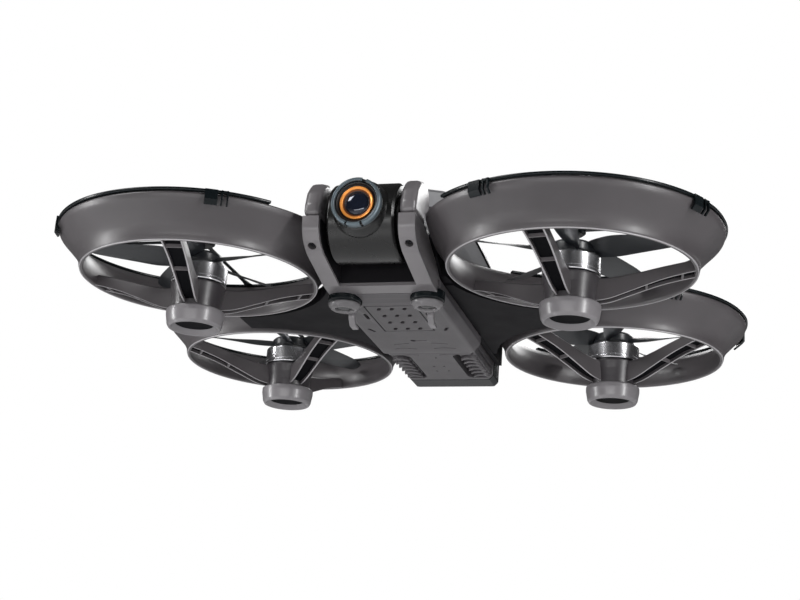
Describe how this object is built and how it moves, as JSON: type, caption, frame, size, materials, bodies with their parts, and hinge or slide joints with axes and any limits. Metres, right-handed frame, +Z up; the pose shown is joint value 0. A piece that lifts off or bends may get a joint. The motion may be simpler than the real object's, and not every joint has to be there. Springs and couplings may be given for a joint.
{
  "type": "ducted fpv racing drone",
  "caption": "Ducted quadcopter with shrouded rotors, clip-on guards, a tilting nose camera in a fork and a slide-out battery with release latches.",
  "frame": {"origin": "on the ground, under the middle of the four ducts", "axes": "nose and camera point to -Y, +X is left to right seen from in front of the nose, +Z is up"},
  "size_m": [0.2312, 0.203, 0.0492],
  "materials": {
    "shell_grey": "satin moulded warm grey",
    "cap_grey": "satin painted light grey",
    "frame_black": "fine-grained black",
    "guard_black": "semi-gloss blue-black",
    "foot_grey": "smooth grey elastomer",
    "motor_metal": "turned and polished",
    "dark_metal": "anodised dark",
    "propeller_smoke": "smoked polycarbonate",
    "camera_black": "satin black",
    "bezel_steel": "bead-blasted",
    "accent_orange": "metallic orange",
    "lens_glass": "coated optical glass",
    "board_green": "solder mask",
    "sink_metal": "machined"
  },
  "bodies": {
    "airframe": {"battery_connector": "frame_black", "belly_shell": "shell_grey", "camera_pivot_left": "dark_metal", "camera_pivot_right": "dark_metal", "duct_front_left": "shell_grey", "duct_front_right": "shell_grey", "duct_rear_left": "shell_grey", "duct_rear_right": "shell_grey", "foot_front_left": "foot_grey", "foot_front_right": "foot_grey", "foot_rear_left": "foot_grey", "foot_rear_right": "foot_grey", "front_yoke": "shell_grey", "guard_front_left": "guard_black", "guard_front_right": "guard_black", "guard_rear_left": "guard_black", "guard_rear_right": "guard_black", "heat_sink": "sink_metal", "main_board": "board_green", "mid_frame": "frame_black", "motor_stator_front_left": "dark_metal", "motor_stator_front_right": "dark_metal", "motor_stator_rear_left": "dark_metal", "motor_stator_rear_right": "dark_metal", "sensor_housing_left": "cap_grey", "sensor_housing_right": "cap_grey", "sensor_lens_left": "lens_glass", "sensor_lens_right": "lens_glass", "skid_fin_left": "shell_grey", "skid_fin_right": "shell_grey", "top_shell": "cap_grey", "vent_panel": "shell_grey", "yoke_cap_left": "cap_grey", "yoke_cap_right": "cap_grey", "yoke_screw_left": "dark_metal", "yoke_screw_right": "dark_metal"},
    "camera": {"camera_drum": "camera_black", "lens_barrel": "camera_black", "lens_bezel": "bezel_steel", "lens_accent_ring": "accent_orange", "lens_glass": "lens_glass", "image_sensor": "board_green"},
    "cooling_fan": {"fan_rotor": "frame_black"},
    "battery": {"battery_pack": "shell_grey"},
    "latch_left": {"battery_latch_left": "shell_grey"},
    "latch_right": {"battery_latch_right": "shell_grey"},
    "power_button": {"power_button": "dark_metal"},
    "rotor_front_left": {"motor_bell_front_left": "motor_metal", "propeller_front_left": "propeller_smoke"},
    "rotor_front_right": {"motor_bell_front_right": "motor_metal", "propeller_front_right": "propeller_smoke"},
    "rotor_rear_left": {"motor_bell_rear_left": "motor_metal", "propeller_rear_left": "propeller_smoke"},
    "rotor_rear_right": {"motor_bell_rear_right": "motor_metal", "propeller_rear_right": "propeller_smoke"}
  },
  "joints": [
    {"name": "rotor_front_left_spin", "type": "hinge", "parent": "airframe", "child": "rotor_front_left", "pos_m": [-0.0652, -0.0511, 0.0176], "axis": [0, 0, 1], "continuous": true},
    {"name": "rotor_front_right_spin", "type": "hinge", "parent": "airframe", "child": "rotor_front_right", "pos_m": [0.0652, -0.0511, 0.0176], "axis": [0, 0, 1], "continuous": true},
    {"name": "rotor_rear_left_spin", "type": "hinge", "parent": "airframe", "child": "rotor_rear_left", "pos_m": [-0.0652, 0.0511, 0.0176], "axis": [0, 0, 1], "continuous": true},
    {"name": "rotor_rear_right_spin", "type": "hinge", "parent": "airframe", "child": "rotor_rear_right", "pos_m": [0.0652, 0.0511, 0.0176], "axis": [0, 0, 1], "continuous": true},
    {"name": "camera_tilt", "type": "hinge", "parent": "airframe", "child": "camera", "pos_m": [0, -0.0664, 0.0306], "axis": [-1, 0, 0], "range_deg": [-90, 60]},
    {"name": "fan_spin", "type": "hinge", "parent": "airframe", "child": "cooling_fan", "pos_m": [0, -0.0286, 0.0176], "axis": [0, 0, 1], "continuous": true},
    {"name": "battery_slide", "type": "slide", "parent": "airframe", "child": "battery", "axis": [0, 1, 0], "range_m": [0, 0.056]},
    {"name": "latch_left_press", "type": "slide", "parent": "battery", "child": "latch_left", "axis": [1, 0, 0], "range_m": [0, 0.0012], "stiffness_N_per_m": 1200, "springref_m": -0.0004},
    {"name": "latch_right_press", "type": "slide", "parent": "battery", "child": "latch_right", "axis": [-1, 0, 0], "range_m": [0, 0.0012], "stiffness_N_per_m": 1200, "springref_m": -0.0004},
    {"name": "power_button_press", "type": "slide", "parent": "battery", "child": "power_button", "axis": [0, -1, 0], "range_m": [0, 0.0007], "stiffness_N_per_m": 1200, "springref_m": -0.0004}
  ]
}
